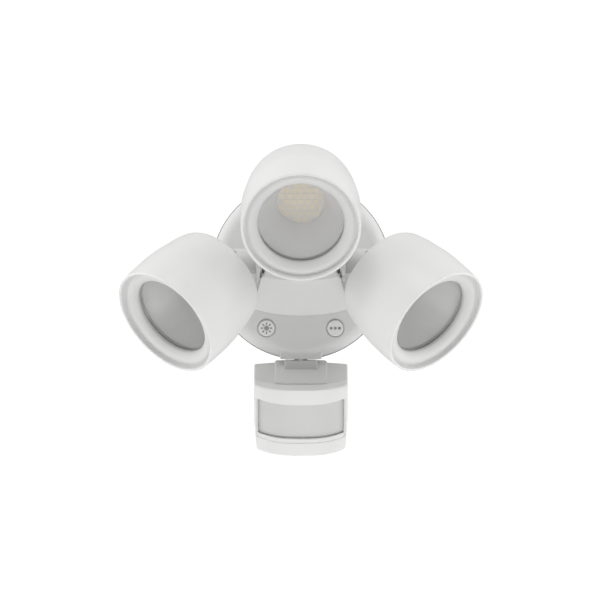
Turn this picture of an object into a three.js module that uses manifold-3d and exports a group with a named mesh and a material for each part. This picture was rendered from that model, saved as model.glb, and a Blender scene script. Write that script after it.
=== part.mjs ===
// Wall-mounted security floodlight: three round LED lamp heads on swivel necks around one hub,
// a round canopy with two push buttons, and a motion sensor that pans and tilts below it.
// Millimetres. Origin: centre of the wall face. +Y points into the wall, +Z is up.
import * as THREE from "three";
import { mergeVertices } from "three/addons/utils/BufferGeometryUtils.js";
import Module from "manifold-3d";

const wasm = await Module();
wasm.setup();

// ---- driving dimensions ----
const GAP = 0.3; // air between neighbouring pieces

const CANOPY_R = 66.75;
const CANOPY_FACE = 24; // depth of the canopy face in front of the wall
const CANOPY_WALL = 2.5;
const GASKET_T = 1.8;
const CANOPY_SCREW_X = 44.45;
const BOX_SCREW_Z = 44.45;

const HUB_FRONT = 63.2; // depth of the hub's front face
const HUB_TOP = 20;
const HUB_WALL = 2.2;
const HUB_LOW = 34.5;

const BUTTON_X = 25.7;
const BUTTON_Z = -43.7;
const BUTTON_R = 6.1;
const BUTTON_TRAVEL = 1.0;

const ARM_R = 9.2;
const ARM_BORE = ARM_R + 0.35;
const FLANGE_R = 10.9;
const NUT_R = 16.3;
const SIDE_PIVOT = new THREE.Vector3(50.8, -49.5, 6.4);
const SIDE_SWIVEL = 46.95; // degrees that a side head points below level
const SIDE_BEND = 38.8; // degrees that a side head leans outwards
const TOP_PIVOT = new THREE.Vector3(0, -68, 67);
const TOP_ARM_Y = -46;
const TOP_TILT = 26.7;

const LIP = 80; // distance from the tilt axis to the lamp's front lip
const PIN_R = 2.5;
const TONGUE_T = 9;
const KNUCKLE_R = 7.5;
const CANOPY_SEGMENTS = 44;
const LAMP_SEGMENTS = 28;
const INNER_SEGMENTS = 20;
const SMALL_SEGMENTS = 14;

const SENSOR_PIVOT = new THREE.Vector3(0, -15, -76.6);
const SHANK_R = 4.6;
const SENSOR_TILT = 27;
const SENSOR_HALF_W = 35;
const SENSOR_TOP = 3;
const SENSOR_BOTTOM = -52.6;
const SENSOR_FRONT = 35.4;
const SENSOR_BACK = -9;
const SENSOR_REAR = 8.6; // how far the back reaches behind the tilt axis, towards the wall
const SENSOR_SKIRT = 9;
const SENSOR_WALL = 2;
const PAD_TOP = 5.5;
const NECK_W = 24;
const WINDOW_HALF_W = 32.3;
const WINDOW_TOP = -10.3;
const WINDOW_BOTTOM = -38.7;

// ---- looks ----
const WHITE = { color: 0xe9eae8, roughness: 0.5, metalness: 0 };
const PLASTIC = { color: 0xe4e5e3, roughness: 0.55, metalness: 0 };
const GLASS = { color: 0xb4b6b8, roughness: 0.35, metalness: 0 };
const PIR = { color: 0xd6d7d6, roughness: 0.6, metalness: 0 };
const MIRROR = { color: 0xc4c4c2, roughness: 0.3, metalness: 0.6 };
const LED = { color: 0xcabf9c, roughness: 0.5, metalness: 0 };
const ALU = { color: 0xaeb1b4, roughness: 0.4, metalness: 0.9 };
const STEEL = { color: 0x9a9da0, roughness: 0.35, metalness: 0.9 };
const RUBBER = { color: 0x2b2c2d, roughness: 0.85, metalness: 0 };
const BOARD = { color: 0x2f6b45, roughness: 0.5, metalness: 0 };
const DARK = { color: 0x3a3c3f, roughness: 0.6, metalness: 0 };

// ---- helpers ----
const rad = THREE.MathUtils.degToRad;
const move = (x, y, z) => new THREE.Matrix4().makeTranslation(x, y, z);
const Z_TO_Y = new THREE.Matrix4().makeRotationX(rad(90));

// Closed three.js geometry as a manifold solid, facing out.
function solid(geometry, matrix = new THREE.Matrix4()) {
  const flat = geometry.index ? geometry.toNonIndexed() : geometry;
  const bare = new THREE.BufferGeometry();
  bare.setAttribute("position", flat.getAttribute("position").clone());
  bare.applyMatrix4(matrix);
  const merged = mergeVertices(bare, 1e-3);
  const verts = merged.getAttribute("position").array;
  const index = merged.index.array;
  const tris = [];
  let volume = 0;
  for (let i = 0; i < index.length; i += 3) {
    const [a, b, c] = [index[i], index[i + 1], index[i + 2]];
    if (a === b || b === c || c === a) continue;
    tris.push(a, b, c);
    const [p, q, r] = [a, b, c].map((k) => new THREE.Vector3().fromArray(verts, 3 * k));
    volume += p.dot(q.cross(r));
  }
  if (volume < 0) {
    for (let i = 0; i < tris.length; i += 3) {
      [tris[i + 1], tris[i + 2]] = [tris[i + 2], tris[i + 1]];
    }
  }
  return new wasm.Manifold(
    new wasm.Mesh({ numProp: 3, vertProperties: verts, triVerts: new Uint32Array(tris) }),
  );
}

const group = new THREE.Group();
group.name = "security_floodlight";

function add(name, body, look, matrix = new THREE.Matrix4()) {
  const mesh = body.getMesh();
  const geometry = new THREE.BufferGeometry();
  const positions = new THREE.BufferAttribute(new Float32Array(mesh.vertProperties), 3);
  geometry.setAttribute("position", positions);
  geometry.setIndex(new THREE.BufferAttribute(new Uint32Array(mesh.triVerts), 1));
  geometry.applyMatrix4(matrix);
  geometry.computeVertexNormals();
  const piece = new THREE.Mesh(geometry, new THREE.MeshStandardMaterial(look));
  piece.name = name;
  group.add(piece);
}

// Solid of revolution about +Y from closed [radius, along] pairs.
function turned(profile, segments, matrix) {
  const points = profile.map(([r, y]) => new THREE.Vector2(r, y));
  const onAxis = profile[0][0] === 0 && profile[profile.length - 1][0] === 0;
  if (!onAxis) points.push(points[0].clone());
  return solid(new THREE.LatheGeometry(points, segments), matrix);
}

// Outline of [x, z] pairs swept along the depth: from depth d0 to d1 in front of the wall.
function plate(outline, d0, d1) {
  const shape = new THREE.Shape(outline.map(([x, z]) => new THREE.Vector2(x, z)));
  const geometry = new THREE.ExtrudeGeometry(shape, { depth: d1 - d0, bevelEnabled: false });
  return solid(geometry, move(0, -d0, 0).multiply(Z_TO_Y));
}

// Post along the depth, round.
function post(x, z, r, d0, d1, segments = SMALL_SEGMENTS) {
  const profile = [[0, d0], [r, d0], [r, d1], [0, d1]];
  return turned(profile, segments, move(x, 0, z).multiply(new THREE.Matrix4().makeScale(1, -1, 1)));
}

function block(x0, x1, y0, y1, z0, z1) {
  const geometry = new THREE.BoxGeometry(x1 - x0, y1 - y0, z1 - z0);
  return solid(geometry, move((x0 + x1) / 2, (y0 + y1) / 2, (z0 + z1) / 2));
}

function mirrored(points) {
  const other = points
    .filter(([x]) => x > 1e-6)
    .map(([x, z]) => [-x, z])
    .reverse();
  return [...points, ...other];
}

function minus(body, ...cuts) {
  return cuts.reduce((left, cut) => left.subtract(cut), body);
}

function plus(body, ...more) {
  return more.reduce((sum, next) => sum.add(next), body);
}

// ---- base: strap, gasket, canopy ----
function slot(x, z, halfLong, r, alongX) {
  const ends = [];
  for (let i = 0; i <= 8; i += 1) {
    const a = (i / 8) * Math.PI - Math.PI / 2;
    ends.push([halfLong + r * Math.cos(a), r * Math.sin(a)]);
  }
  const half = ends.map(([u, v]) => [-u, -v]);
  const ring = [...ends, ...half].map(([u, v]) => (alongX ? [x + u, z + v] : [x - v, z + u]));
  return plate(ring, -1, 4);
}

function buildBase() {
  const arm = 9;
  const reach = 52;
  const cross = [
    [reach, -arm], [reach, arm], [arm, arm], [arm, reach], [-arm, reach], [-arm, arm],
    [-reach, arm], [-reach, -arm], [-arm, -arm], [-arm, -reach], [arm, -reach], [arm, -arm],
  ];
  const strap = minus(
    plate(cross, 0, 2),
    slot(0, BOX_SCREW_Z, 3, 2.3, false),
    slot(0, -BOX_SCREW_Z, 3, 2.3, false),
    slot(22, 0, 5, 2.2, true),
    slot(-22, 0, 5, 2.2, true),
    post(CANOPY_SCREW_X, 0, 2.3, -1, 4),
    post(-CANOPY_SCREW_X, 0, 2.3, -1, 4),
  );
  add("mounting_strap", strap, STEEL);

  const seal = turned([[59.5, 0], [65.5, 0], [65.5, -GASKET_T], [59.5, -GASKET_T]], 32);
  add("wall_gasket", seal, RUBBER);

  const back = -(GASKET_T + GAP);
  const face = -CANOPY_FACE;
  const inner = face + CANOPY_WALL;
  const shell = turned(
    [
      [0, face], [57.5, face], [62.3, face + 1.3], [65.3, face + 4], [CANOPY_R, face + 9],
      [CANOPY_R, back], [64, back], [64, face + 9], [61.5, face + 4.6], [57, inner], [0, inner],
    ],
    CANOPY_SEGMENTS,
  );
  const boss = [
    [15.85, -66.9], [15.85, -57], [-15.85, -57], [-15.85, -66.9],
  ];
  const bossBody = plate(boss, 8.5, 21.5);
  const posts = [-1, 1].map((s) => post(s * CANOPY_SCREW_X, 0, 5, 3.2, CANOPY_FACE - 1));
  const neckHole = solid(new THREE.CylinderGeometry(SHANK_R + 0.35, SHANK_R + 0.35, 20, 18),
    move(0, SENSOR_PIVOT.y, -62).multiply(new THREE.Matrix4().makeRotationX(rad(90))));
  const cuts = [neckHole, post(0, -4, 16, CANOPY_FACE - 5, CANOPY_FACE + 1, 20)];
  for (const s of [-1, 1]) {
    cuts.push(post(s * CANOPY_SCREW_X, 0, 2.35, 0, CANOPY_FACE + 1));
    cuts.push(post(s * BUTTON_X, BUTTON_Z, 7, CANOPY_FACE - 0.8, CANOPY_FACE + 1, 20));
    cuts.push(post(s * BUTTON_X, BUTTON_Z, BUTTON_R + GAP, CANOPY_FACE - 6, CANOPY_FACE + 1, 20));
  }
  const cavityForNeck = block(-9, 9, -20.7, -3.3, -63.7, -50);
  add("canopy", minus(plus(shell, bossBody, ...posts), cavityForNeck, ...cuts), WHITE);

  for (const [side, s] of [["left", -1], ["right", 1]]) {
    const screw = turned([[0, 0.2], [2, 0.2], [2, 24.3], [4.3, 24.3], [3.2, 26.6], [0, 26.6]],
      SMALL_SEGMENTS,
      move(s * CANOPY_SCREW_X, 0, 0).multiply(new THREE.Matrix4().makeScale(1, -1, 1)));
    add(`canopy_screw_${side}`, screw, STEEL);
  }

  add("driver_module", block(-30, 30, -19.5, -4.5, 16, 47), DARK);
  add("terminal_block", block(-15, 15, -14, -4, -24, -14), PLASTIC);
  const pcb = minus(
    block(-36, 36, -12.6, -11, BUTTON_Z - 8, BUTTON_Z + 8),
    post(0, BUTTON_Z, 2, 0, 20),
  );
  add("control_board", pcb, BOARD);
}

// ---- hub that carries the three necks ----
function hubBody(inset, d0, d1) {
  const halfLeft = [
    [0, -HUB_LOW], [13.5, -33.9], [25.5, -32.1], [33, -30.2], [36.2, -29.2],
    [34.2, -26.6], [32.1, -20], [30.3, -12], [29.2, -4], [28.7, 6], [28.3, 12],
    [27.4, 17], [25.5, 19.4], [23, HUB_TOP], [0, HUB_TOP],
  ];
  const shape = new THREE.Shape(mirrored(halfLeft).map(([x, z]) => new THREE.Vector2(x, z)));
  const options = { depth: d1 - d0, bevelEnabled: false, steps: 1 };
  const geometry = new THREE.ExtrudeGeometry(shape, options);
  geometry.applyMatrix4(move(0, -d0, 0).multiply(Z_TO_Y));
  const position = geometry.getAttribute("position");
  const depth = HUB_FRONT - CANOPY_FACE;
  for (let i = 0; i < position.count; i += 1) {
    const k = (-position.getY(i) - CANOPY_FACE) / depth;
    const wide = 1 - 0.06 * k - inset / 28;
    const tall = 1 - 0.2 * k - inset / 27;
    position.setX(i, position.getX(i) * wide);
    position.setZ(i, HUB_TOP - inset + (position.getZ(i) - HUB_TOP) * tall);
  }
  return solid(geometry);
}

function axisPost(pivot, axis, r, from, to, segments = 22) {
  const profile = [[0, from], [r, from], [r, to], [0, to]];
  const turn = new THREE.Quaternion().setFromUnitVectors(new THREE.Vector3(0, 1, 0), axis);
  const place = new THREE.Matrix4().compose(pivot, turn, new THREE.Vector3(1, 1, 1));
  return turned(profile, segments, place);
}

const SIDES = [["left", -1], ["right", 1]];
const armAxis = (s) => new THREE.Vector3(s, 0, 0);
const armRoot = (s) => new THREE.Vector3(0, SIDE_PIVOT.y, SIDE_PIVOT.z);
const UP = new THREE.Vector3(0, 0, 1);
const topRoot = new THREE.Vector3(0, TOP_ARM_Y, 0);

function buildHub() {
  let hub = hubBody(0, CANOPY_FACE + GAP, HUB_FRONT);
  hub = hub.subtract(hubBody(HUB_WALL, CANOPY_FACE - 2, HUB_FRONT - HUB_WALL));
  for (const [, s] of SIDES) {
    hub = hub.subtract(axisPost(armRoot(s), armAxis(s), ARM_BORE, 15, 45));
  }
  hub = hub.subtract(axisPost(topRoot, UP, ARM_BORE, 5, 45));
  add("hub", hub, WHITE);

  const nut = (from) => [
    [ARM_R + 0.4, from], [12.4, from], [12.4, from + 1.3], [NUT_R, from + 1.3],
    [NUT_R, from + 3.8], [NUT_R - 0.8, from + 4.5], [ARM_R + 0.4, from + 4.5],
  ];
  for (const [side, s] of SIDES) {
    const turn = new THREE.Quaternion().setFromUnitVectors(new THREE.Vector3(0, 1, 0), armAxis(s));
    const place = new THREE.Matrix4().compose(armRoot(s), turn, new THREE.Vector3(1, 1, 1));
    add(`lock_ring_${side}`, turned(nut(29.2), 24, place), PLASTIC);
  }
  const turn = new THREE.Quaternion().setFromUnitVectors(new THREE.Vector3(0, 1, 0), UP);
  const place = new THREE.Matrix4().compose(topRoot, turn, new THREE.Vector3(1, 1, 1));
  add("lock_ring_top", turned(nut(HUB_TOP + GAP), 24, place), PLASTIC);
}

// ---- lamp heads ----
// Head frame: origin on the tilt axis, +X along the tilt axis, +Y the way the lamp points.
function headFrame(pivot, tiltAxis, pointing) {
  const up = new THREE.Vector3().crossVectors(tiltAxis, pointing);
  return new THREE.Matrix4().makeBasis(tiltAxis, pointing, up).setPosition(pivot);
}

const crossPin = (r, half) =>
  solid(new THREE.CylinderGeometry(r, r, 2 * half, r > 4 ? 20 : SMALL_SEGMENTS), new THREE.Matrix4().makeRotationZ(rad(90)));

function buildLamp(name, frame) {
  const at = (t) => LIP - t;
  const outside = [
    [0, 44.4], [15, 44.9], [29, 44.6], [43, 42.7], [57.5, 39.9], [61.4, 38.6], [63.7, 37],
    [64.7, 34.8], [67.3, 24.2], [67.3, 0],
  ];
  const inside = [
    [62.3, 0], [62.3, 33], [58, 37.2], [43, 40.4], [14, 40.6], [14, 42.7], [0, 42.7],
  ];
  const skin = [...outside, ...inside].map(([t, r]) => [r, at(t)]);
  const cup = solid(
    new THREE.LatheGeometry([...skin, skin[0]].map(([r, y]) => new THREE.Vector2(r, y)), LAMP_SEGMENTS),
  );
  const halfT = TONGUE_T / 2;
  const tongue = plus(
    block(-halfT, halfT, 0, at(65), -KNUCKLE_R, KNUCKLE_R),
    crossPin(KNUCKLE_R, halfT),
    block(-halfT, halfT, at(67.3) - 3, at(65), -11, 11),
  );
  const housing = minus(plus(cup, tongue), crossPin(PIN_R + 0.2, 12));
  add(`lamp_housing_${name}`, housing, WHITE, frame);

  const bezel = [
    [42.4, 5.2], [41, 3.5], [38.4, 2.9], [35, 4.3], [32.2, 7.2], [32.2, 9.3], [36, 9.3],
    [36, 13.7], [42.4, 13.7],
  ];
  add(`bezel_${name}`, turned(bezel.map(([r, t]) => [r, at(t)]), LAMP_SEGMENTS), WHITE, frame);

  const lens = [[0, 9.6], [35.6, 9.6], [35.6, 12.6], [0, 12.6]];
  add(`lamp_lens_${name}`, turned(lens.map(([r, t]) => [r, at(t)]), INNER_SEGMENTS), GLASS, frame);

  const seal = [[33, 12.9], [35.6, 12.9], [35.6, 14.1], [33, 14.1]];
  const ring = turned(seal.map(([r, t]) => [r, at(t)]), INNER_SEGMENTS);
  add(`lens_seal_${name}`, ring, RUBBER, frame);

  const cone = [
    [31.8, 14.4], [40.1, 14.4], [40.1, 15.6], [33.3, 15.6], [19.4, 43.4], [17.6, 43.4],
  ];
  add(`reflector_${name}`, turned(cone.map(([r, t]) => [r, at(t)]), INNER_SEGMENTS), MIRROR, frame);

  const led = [[0, 43.8], [20, 43.8], [20, 45.4], [0, 45.4]];
  add(`led_board_${name}`, turned(led.map(([r, t]) => [r, at(t)]), INNER_SEGMENTS), LED, frame);

  const sink = [[0, 45.7], [22, 45.7], [22, 49], [14, 49], [14, 62], [0, 62]];
  add(`heat_sink_${name}`, turned(sink.map(([r, t]) => [r, at(t)]), INNER_SEGMENTS), ALU, frame);

  const pin = turned(
    [[0, -9.4], [PIN_R, -9.4], [PIN_R, 9.5], [4.2, 9.5], [3.4, 11.6], [0, 11.6]], SMALL_SEGMENTS,
    new THREE.Matrix4().makeRotationZ(rad(90)),
  );
  add(`tilt_pin_${name}`, pin, STEEL, frame);
}

// Fork at the end of a neck, in the neck frame: origin on the tilt axis, +X along it,
// +Y pointing out of the arm.
function forked(arm) {
  const wide = TONGUE_T / 2 + GAP;
  const reach = KNUCKLE_R + 1;
  const tip = block(-20, 20, 0, 30, -30, 30).subtract(crossPin(KNUCKLE_R, 21));
  return minus(arm, block(-wide, wide, -reach, 30, -20, 20), tip, crossPin(PIN_R + 0.2, 30));
}

function sideArm() {
  const length = SIDE_PIVOT.x;
  const profile = [
    [0, 18.5 - length], [FLANGE_R, 18.5 - length], [FLANGE_R, 21 - length], [ARM_R, 21 - length],
    [ARM_R, KNUCKLE_R], [0, KNUCKLE_R],
  ];
  return forked(turned(profile, 22));
}

class Gooseneck extends THREE.Curve {
  constructor(low, high, bend, out) {
    super();
    Object.assign(this, { low, high, bend, out });
  }

  getPoint(t) {
    const { low, high, bend, out } = this;
    const rise = high - bend - low;
    const arc = (bend * Math.PI) / 2;
    const s = t * (rise + arc + out);
    if (s <= rise) return new THREE.Vector3(0, 0, low + s);
    if (s <= rise + arc) {
      const a = (s - rise) / bend;
      return new THREE.Vector3(0, -bend * (1 - Math.cos(a)), high - bend + bend * Math.sin(a));
    }
    return new THREE.Vector3(0, -bend - (s - rise - arc), high);
  }
}

function topArm() {
  const reach = TOP_ARM_Y - TOP_PIVOT.y;
  const bend = 13;
  const curve = new Gooseneck(14, TOP_PIVOT.z, bend, reach - bend + KNUCKLE_R);
  const ring = new THREE.Shape().absarc(0, 0, ARM_R, 0, 2 * Math.PI);
  const options = { steps: 14, extrudePath: curve, bevelEnabled: false, curveSegments: 10 };
  const tube = solid(new THREE.ExtrudeGeometry(ring, options), move(0, TOP_ARM_Y, 0));
  const flange = axisPost(topRoot, UP, FLANGE_R, 11, 15.5);
  return plus(tube, flange);
}

function buildHeads() {
  for (const [side, s] of SIDES) {
    const pivot = new THREE.Vector3(s * SIDE_PIVOT.x, SIDE_PIVOT.y, SIDE_PIVOT.z);
    const down = rad(SIDE_SWIVEL);
    const lean = rad(SIDE_BEND);
    const ahead = new THREE.Vector3(0, -Math.cos(down), -Math.sin(down));
    const pointing = ahead.clone().multiplyScalar(Math.cos(lean));
    pointing.addScaledVector(new THREE.Vector3(s, 0, 0), Math.sin(lean));
    const tiltAxis = new THREE.Vector3().crossVectors(new THREE.Vector3(1, 0, 0), ahead);
    buildLamp(side, headFrame(pivot, tiltAxis, pointing));
    add(`neck_${side}`, sideArm(), PLASTIC, headFrame(pivot, tiltAxis, armAxis(s)));
  }

  const down = rad(TOP_TILT);
  const pointing = new THREE.Vector3(0, -Math.cos(down), -Math.sin(down));
  const tiltAxis = new THREE.Vector3(1, 0, 0);
  buildLamp("top", headFrame(TOP_PIVOT, tiltAxis, pointing));
  const outFrame = headFrame(TOP_PIVOT, tiltAxis, new THREE.Vector3(0, -1, 0));
  const intoNeck = outFrame.clone().invert();
  const neck = topArm().transform(intoNeck.toArray());
  add("neck_top", forked(neck), PLASTIC, outFrame);
}

// ---- buttons ----
function buildButtons() {
  for (const [side, s] of SIDES) {
    const place = move(s * BUTTON_X, 0, BUTTON_Z).multiply(new THREE.Matrix4().makeScale(1, -1, 1));
    const face = CANOPY_FACE + 0.5;
    const cap = [
      [0, face], [BUTTON_R - 0.7, face], [BUTTON_R, face - 0.6], [BUTTON_R, CANOPY_FACE - 3.1],
      [7.6, CANOPY_FACE - 3.1], [7.6, CANOPY_FACE - 4.2], [2.2, CANOPY_FACE - 4.2],
      [2.2, CANOPY_FACE - 6.4], [0, CANOPY_FACE - 6.4],
    ];
    add(`button_${side}`, turned(cap, 20, place), PLASTIC);
    const low = 12.9;
    const high = CANOPY_FACE - 6.4 - BUTTON_TRAVEL - GAP;
    const x = s * BUTTON_X;
    const box = block(x - 3, x + 3, -high + 0.8, -low, BUTTON_Z - 3, BUTTON_Z + 3);
    add(`switch_${side}`, box.add(post(x, BUTTON_Z, 1.7, low, high, 12)), DARK);
  }
}

// ---- motion sensor ----
// Sensor frame: origin on the tilt axis, +X across, +Y towards its front, +Z up its face.
function frontCurve(x) {
  return SENSOR_FRONT - 8.3 * (Math.abs(x) / 33.6) ** 3;
}

function frontLine(halfWidth, back, steps = 12) {
  const line = [];
  for (let i = 0; i <= steps; i += 1) {
    const x = halfWidth * (1 - (2 * i) / steps);
    line.push([x, frontCurve(x) - back]);
  }
  return line;
}

function upward(outline, z0, z1) {
  const shape = new THREE.Shape(outline.map(([x, y]) => new THREE.Vector2(x, y)));
  const geometry = new THREE.ExtrudeGeometry(shape, { depth: z1 - z0, bevelEnabled: false });
  return solid(geometry, move(0, 0, z0));
}

function sensorBody(inset) {
  const half = SENSOR_HALF_W - inset;
  const cut = inset > 0 ? 0.1 : 1.2;
  const corner = frontCurve(half - cut) - inset - cut;
  const plan = [
    [half, corner], ...frontLine(half - cut, inset), [-half, corner],
    [-half, SENSOR_BACK + 2.4 + inset], [-half + 1, SENSOR_BACK + 1.7 + inset],
    [-19.5, SENSOR_BACK - 0.6 + inset], [19.5, SENSOR_BACK - 0.6 + inset],
    [half - 1, SENSOR_BACK + 1.7 + inset], [half, SENSOR_BACK + 2.4 + inset],
  ];
  const tall = upward(plan, SENSOR_BOTTOM - 5, SENSOR_TOP - inset);
  const low = SENSOR_BOTTOM + inset;
  const side = [
    [-40, SENSOR_TOP + 9], [60, SENSOR_TOP + 9], [60, low], [-40, low],
  ];
  const sideways = new THREE.Matrix4().makeBasis(
    new THREE.Vector3(0, 1, 0), new THREE.Vector3(0, 0, 1), new THREE.Vector3(1, 0, 0));
  const sideShape = new THREE.Shape(side.map(([v, w]) => new THREE.Vector2(v, w)));
  const sideGeometry = new THREE.ExtrudeGeometry(sideShape, { depth: 100, bevelEnabled: false });
  const slab = solid(sideGeometry, move(-50, 0, 0).multiply(sideways));
  const faceHalf = mirrored([
    [0, low], [15, low + 0.3], [27, low + 1.1], [32.6 - inset, low + 1.9],
    [33.6 - inset, low + 3.2], [34.2 - inset, -38], [half, -26], [half, 20], [0, 20],
  ]);
  const face = solid(
    new THREE.ExtrudeGeometry(
      new THREE.Shape(faceHalf.map(([x, w]) => new THREE.Vector2(x, w))),
      { depth: 120, bevelEnabled: false },
    ),
    move(0, 80, 0).multiply(Z_TO_Y),
  );
  const wall = [
    [9, SENSOR_REAR - inset], [38, SENSOR_REAR - 3.7 - inset], [38, -90], [-38, -90],
    [-38, SENSOR_REAR - 3.7 - inset], [-9, SENSOR_REAR - inset],
  ];
  const lean = new THREE.Matrix4().makeRotationX(rad(SENSOR_TILT));
  const flip = new THREE.Matrix4().makeScale(1, -1, 1);
  const upright = upward(wall, -120, 120).transform(lean.clone().multiply(flip).toArray());
  return tall.intersect(slab).intersect(face).intersect(upright);
}

function windowCut(margin, depth0, depth1) {
  const rise = (x) => 1.9 * (Math.abs(x) / WINDOW_HALF_W) ** 2.4;
  const half = WINDOW_HALF_W + margin;
  const top = [];
  const bottom = [];
  for (let i = 0; i <= 10; i += 1) {
    const x = half * (1 - (2 * i) / 10);
    top.push([x, WINDOW_TOP + margin + rise(x)]);
    bottom.push([-x, WINDOW_BOTTOM - margin + rise(x)]);
  }
  const shape = new THREE.Shape([...top, ...bottom].map(([x, w]) => new THREE.Vector2(x, w)));
  const geometry = new THREE.ExtrudeGeometry(shape, { depth: depth1 - depth0, bevelEnabled: false });
  return solid(geometry, move(0, depth1, 0).multiply(Z_TO_Y));
}

function buildSensor() {
  const down = rad(SENSOR_TILT);
  const ahead = new THREE.Vector3(0, -Math.cos(down), -Math.sin(down));
  const across = new THREE.Vector3(-1, 0, 0);
  const up = new THREE.Vector3().crossVectors(across, ahead);
  const frame = new THREE.Matrix4().makeBasis(across, ahead, up).setPosition(SENSOR_PIVOT);

  const outer = sensorBody(0);
  const inner = sensorBody(SENSOR_WALL);
  const bandFor = (back) => upward(
    [...frontLine(38, back), [-38, 60], [38, 60]], SENSOR_BOTTOM - 10, PAD_TOP + 10);
  const pad = [
    [19.5, 19], [19.5, 24.2], [17.4, 26.2], [-17.4, 26.2], [-19.5, 24.2], [-19.5, 19],
    [-19.5, SENSOR_BACK + 1], [-17.9, SENSOR_BACK - 0.4], [17.9, SENSOR_BACK - 0.4],
    [19.5, SENSOR_BACK + 1],
  ];
  const slotHalf = NECK_W / 2 + 0.4;
  const fall = new THREE.Shape([
    [-20, SENSOR_TOP - 1], [-20, PAD_TOP], [-3, PAD_TOP], [30, SENSOR_TOP + 0.8], [30, SENSOR_TOP - 1],
  ].map(([v, w]) => new THREE.Vector2(v, w)));
  const sideways = new THREE.Matrix4().makeBasis(
    new THREE.Vector3(0, 1, 0), new THREE.Vector3(0, 0, 1), new THREE.Vector3(1, 0, 0));
  const sloped = solid(new THREE.ExtrudeGeometry(fall, { depth: 50, bevelEnabled: false }),
    move(-25, 0, 0).multiply(sideways));
  const raised = upward(pad, SENSOR_TOP - 1, PAD_TOP).intersect(sloped);
  const pocket = plus(
    block(-slotHalf, slotHalf, -20, 5.6, 0, 20),
    block(-slotHalf, slotHalf, -20, 0, -5.5, 20),
    crossPin(5.6, slotHalf),
  );
  const hollow = inner.subtract(block(-22, 22, -20, 8.4, -9, 20));
  const rear = minus(plus(outer.subtract(hollow), raised), bandFor(SENSOR_SKIRT + GAP),
    pocket, crossPin(2.2, 17.6));
  add("sensor_housing", rear, WHITE, frame);

  const cap = outer.intersect(bandFor(SENSOR_SKIRT)).subtract(inner).subtract(windowCut(0, 5, 60));
  add("sensor_front", cap, WHITE, frame);

  const lensBand = upward(
    [...frontLine(31.9, SENSOR_WALL + 0.6), ...frontLine(31.9, SENSOR_WALL + 1.6).reverse()],
    -60, 20);
  add("sensor_lens", lensBand.intersect(windowCut(0.9, 0, 60)), PIR, frame);
  add("sensor_board", block(-24, 24, 16, 17.6, -40, -8), BOARD, frame);
  const can = solid(new THREE.CylinderGeometry(4.6, 4.6, 4.2, SMALL_SEGMENTS), move(0, 20.1, -24.5));
  add("pyro_sensor", can, STEEL, frame);

  add("sensor_pin", crossPin(2, 17.2), STEEL, frame);

  const p = SENSOR_PIVOT;
  const upright = move(0, p.y, 0).multiply(new THREE.Matrix4().makeRotationX(rad(90)));
  const profile = [
    [0, -68], [SHANK_R, -68], [SHANK_R, -63.2], [SHANK_R + 0.9, -63.2], [SHANK_R, -60], [0, -60],
  ];
  const shank = turned(profile, 18, upright);
  const stem = block(-NECK_W / 2, NECK_W / 2, p.y - 4.2, p.y + 4.2, p.z, -67.25);
  const onPivot = move(0, p.y, p.z);
  const knuckle = crossPin(5, NECK_W / 2).transform(onPivot.toArray());
  const bore = crossPin(2.2, 20).transform(onPivot.toArray());
  add("sensor_neck", minus(plus(shank, stem, knuckle), bore), PLASTIC);
}

buildBase();
buildHub();
buildHeads();
buildButtons();
buildSensor();

export default group;
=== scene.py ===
import math

import bmesh
import bpy
from mathutils import Matrix, Vector


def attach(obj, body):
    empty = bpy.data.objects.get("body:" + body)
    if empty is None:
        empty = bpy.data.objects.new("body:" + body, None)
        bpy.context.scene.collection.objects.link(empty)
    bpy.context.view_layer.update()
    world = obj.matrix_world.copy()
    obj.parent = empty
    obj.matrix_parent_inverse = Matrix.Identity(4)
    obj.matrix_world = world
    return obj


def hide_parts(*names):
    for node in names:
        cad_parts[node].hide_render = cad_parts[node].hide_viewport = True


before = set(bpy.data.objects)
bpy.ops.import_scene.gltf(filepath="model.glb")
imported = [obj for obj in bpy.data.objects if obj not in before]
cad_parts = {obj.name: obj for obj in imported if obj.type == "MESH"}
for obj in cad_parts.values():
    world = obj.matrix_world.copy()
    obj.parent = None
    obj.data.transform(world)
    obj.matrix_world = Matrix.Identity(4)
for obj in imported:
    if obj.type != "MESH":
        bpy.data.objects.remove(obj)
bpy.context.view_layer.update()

MM = 0.001
X_AXIS, Y_AXIS, Z_AXIS = Vector((1, 0, 0)), Vector((0, 1, 0)), Vector((0, 0, 1))

# ---- the driving dimensions of the part, in millimetres and degrees ----
GAP, BORE_PLAY = 0.3, 0.35
CANOPY_R = 66.75
CANOPY_FACE = 24.0
HUB_FRONT, HUB_TOP, HUB_WALL = 63.2, 20.0, 2.2
BUTTON_X, BUTTON_Z, BUTTON_R = 25.7, -43.7, 6.1
ARM_R, FLANGE_R, NUT_R = 9.2, 10.9, 16.3
SCREW_X = 44.45
SIDE_PIVOT = Vector((50.8, -49.5, 6.4))
SIDE_DOWN, SIDE_LEAN = 46.95, 38.8
TOP_PIVOT = Vector((0, -68, 67))
TOP_DOWN = 26.7
TOP_ARM_Y = -46.0
LIP = 80.0
GLASS_FRONT, GLASS_BACK, GLASS_R = 9.6, 12.6, 35.6
BOARD_FRONT, SINK_FRONT = 43.8, 45.7
PIN_R, TONGUE_HALF, KNUCKLE_R = 2.5, 4.5, 7.5
SENSOR_PIVOT = Vector((0, -15, -76.6))
SENSOR_DOWN = 27
SENSOR_TOP, SENSOR_BOTTOM, SENSOR_HALF = 3.0, -52.6, 35.0
SENSOR_BACK, SENSOR_REAR, SENSOR_SKIRT, SENSOR_WALL = -9.0, 8.6, 9.0, 2.0
SENSOR_FRONT, SENSOR_BULGE, SENSOR_SPAN = 35.4, 8.3, 33.6
PAD_TOP, PAD_HALF, NECK_HALF = 5.5, 19.5, 12.0
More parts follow.
